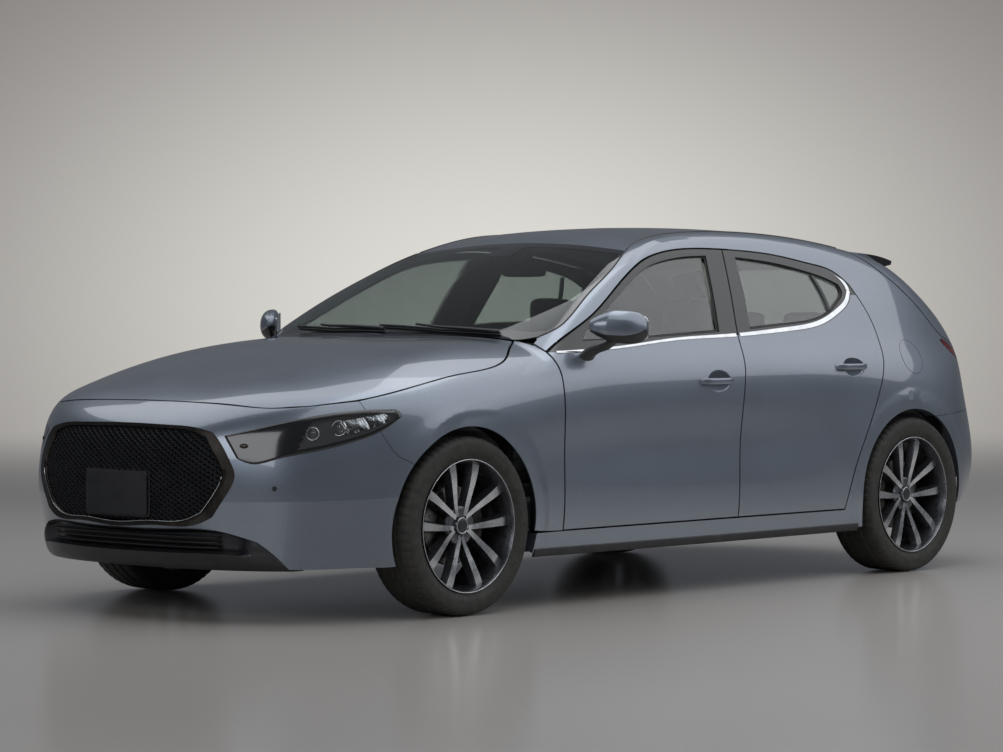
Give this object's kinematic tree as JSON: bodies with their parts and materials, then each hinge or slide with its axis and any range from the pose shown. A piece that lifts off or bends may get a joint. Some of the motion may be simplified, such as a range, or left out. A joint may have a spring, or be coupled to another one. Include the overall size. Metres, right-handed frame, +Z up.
{
  "type": "five-door hatchback car",
  "caption": "Family hatchback with opening doors, bonnet and tailgate, glazed cabin with seats, and steered, freely rolling wheels.",
  "frame": {"origin": "on the ground under the middle of the car's outline", "axes": "+X to the car's left, -Y forwards, +Z up"},
  "size_m": [2.0374, 4.446, 1.4424],
  "materials": {
    "paint": "metallic blue-grey car paint under clear coat",
    "black_trim": "gloss black trim",
    "black_plastic": "grained black plastic",
    "gunmetal": "dark metallic moulding",
    "glass": "tinted safety glass",
    "lamp": "clear lamp lens over a dark housing",
    "tail_lamp": "red tail lamp lens",
    "rubber": "tyre rubber",
    "alloy": "cast wheel, dark with bright faces",
    "cast_iron": "bare casting",
    "carpet": "dark underbody and carpet",
    "leather": "dark upholstery",
    "vinyl": "soft dashboard skin"
  },
  "bodies": {
    "car": {"body_side_left": "paint", "body_side_right": "paint", "roof_panel": "paint", "front_bumper": "paint", "rear_bumper": "paint", "front_wing_left": "paint", "front_wing_right": "paint", "body_shell": "carpet", "cowl": "black_plastic", "dashboard": "vinyl", "engine": "cast_iron", "front_lip": "black_plastic", "front_seat_left": "leather", "front_seat_right": "leather", "rear_bench": "leather", "front_strut_left": "black_plastic", "front_strut_right": "black_plastic", "front_subframe": "black_plastic", "rear_axle": "black_plastic", "windscreen": "glass", "grille": "black_trim", "grille_frame": "gunmetal", "headlamp_left": "lamp", "headlamp_right": "lamp", "tail_lamp_left": "tail_lamp", "tail_lamp_right": "tail_lamp"},
    "front_door_left": {"front_door_left": "paint", "front_window_left": "glass", "mirror_left": "paint"},
    "front_wheel_left": {"tyre_front_left": "rubber", "wheel_front_left": "alloy"},
    "front_door_right": {"front_door_right": "paint", "front_window_right": "glass", "mirror_right": "paint"},
    "front_wheel_right": {"tyre_front_right": "rubber", "wheel_front_right": "alloy"},
    "rear_door_left": {"rear_door_left": "paint", "rear_window_left": "glass"},
    "rear_wheel_left": {"tyre_rear_left": "rubber", "wheel_rear_left": "alloy"},
    "rear_door_right": {"rear_door_right": "paint", "rear_window_right": "glass"},
    "rear_wheel_right": {"tyre_rear_right": "rubber", "wheel_rear_right": "alloy"},
    "bonnet": {"bonnet": "paint"},
    "tailgate": {"tailgate": "paint", "rear_window_glass": "glass", "gate_lamp_left": "tail_lamp", "gate_lamp_right": "tail_lamp"},
    "knuckle_left": {"knuckle_left": "cast_iron"},
    "knuckle_right": {"knuckle_right": "cast_iron"},
    "steering_wheel": {"steering_wheel": "leather"}
  },
  "joints": [
    {"name": "front_door_left_hinge", "type": "hinge", "parent": "car", "child": "front_door_left", "pos_m": [0.845, -0.72375, 0.6], "axis": [0, 0, -1], "range_deg": [0, 65]},
    {"name": "front_door_right_hinge", "type": "hinge", "parent": "car", "child": "front_door_right", "pos_m": [-0.845, -0.72375, 0.6], "axis": [0, 0, 1], "range_deg": [0, 65]},
    {"name": "rear_door_left_hinge", "type": "hinge", "parent": "car", "child": "rear_door_left", "pos_m": [0.845, 0.31629, 0.6], "axis": [0, 0, -1], "range_deg": [0, 65]},
    {"name": "rear_door_right_hinge", "type": "hinge", "parent": "car", "child": "rear_door_right", "pos_m": [-0.845, 0.31629, 0.6], "axis": [0, 0, 1], "range_deg": [0, 65]},
    {"name": "bonnet_hinge", "type": "hinge", "parent": "car", "child": "bonnet", "pos_m": [0, -0.747, 0.94], "axis": [-1, 0, 0], "range_deg": [0, 55]},
    {"name": "tailgate_hinge", "type": "hinge", "parent": "car", "child": "tailgate", "pos_m": [0, 1.2901, 1.38525], "axis": [1, 0, 0], "range_deg": [0, 80]},
    {"name": "steering_left", "type": "hinge", "parent": "car", "child": "knuckle_left", "pos_m": [0.735, -1.317, 0.325], "axis": [0, 0, 1], "range_deg": [-35, 35]},
    {"name": "steering_right", "type": "hinge", "parent": "car", "child": "knuckle_right", "pos_m": [-0.735, -1.317, 0.325], "axis": [0, 0, 1], "range_deg": [-35, 35]},
    {"name": "steering_wheel_turn", "type": "hinge", "parent": "car", "child": "steering_wheel", "pos_m": [-0.37, -0.337, 0.83], "axis": [0, 0.9135, 0.4067], "range_deg": [-490, 490]},
    {"name": "front_wheel_left_spin", "type": "hinge", "parent": "knuckle_left", "child": "front_wheel_left", "pos_m": [0.7875, -1.317, 0.325], "axis": [1, 0, 0], "continuous": true},
    {"name": "front_wheel_right_spin", "type": "hinge", "parent": "knuckle_right", "child": "front_wheel_right", "pos_m": [-0.7875, -1.317, 0.325], "axis": [1, 0, 0], "continuous": true},
    {"name": "rear_wheel_left_spin", "type": "hinge", "parent": "car", "child": "rear_wheel_left", "pos_m": [0.7875, 1.408, 0.325], "axis": [1, 0, 0], "continuous": true},
    {"name": "rear_wheel_right_spin", "type": "hinge", "parent": "car", "child": "rear_wheel_right", "pos_m": [-0.7875, 1.408, 0.325], "axis": [1, 0, 0], "continuous": true}
  ],
  "couplings": [
    {"joint": "steering_right", "follows": "steering_left", "ratio": 1},
    {"joint": "steering_wheel_turn", "follows": "steering_left", "ratio": 14}
  ]
}
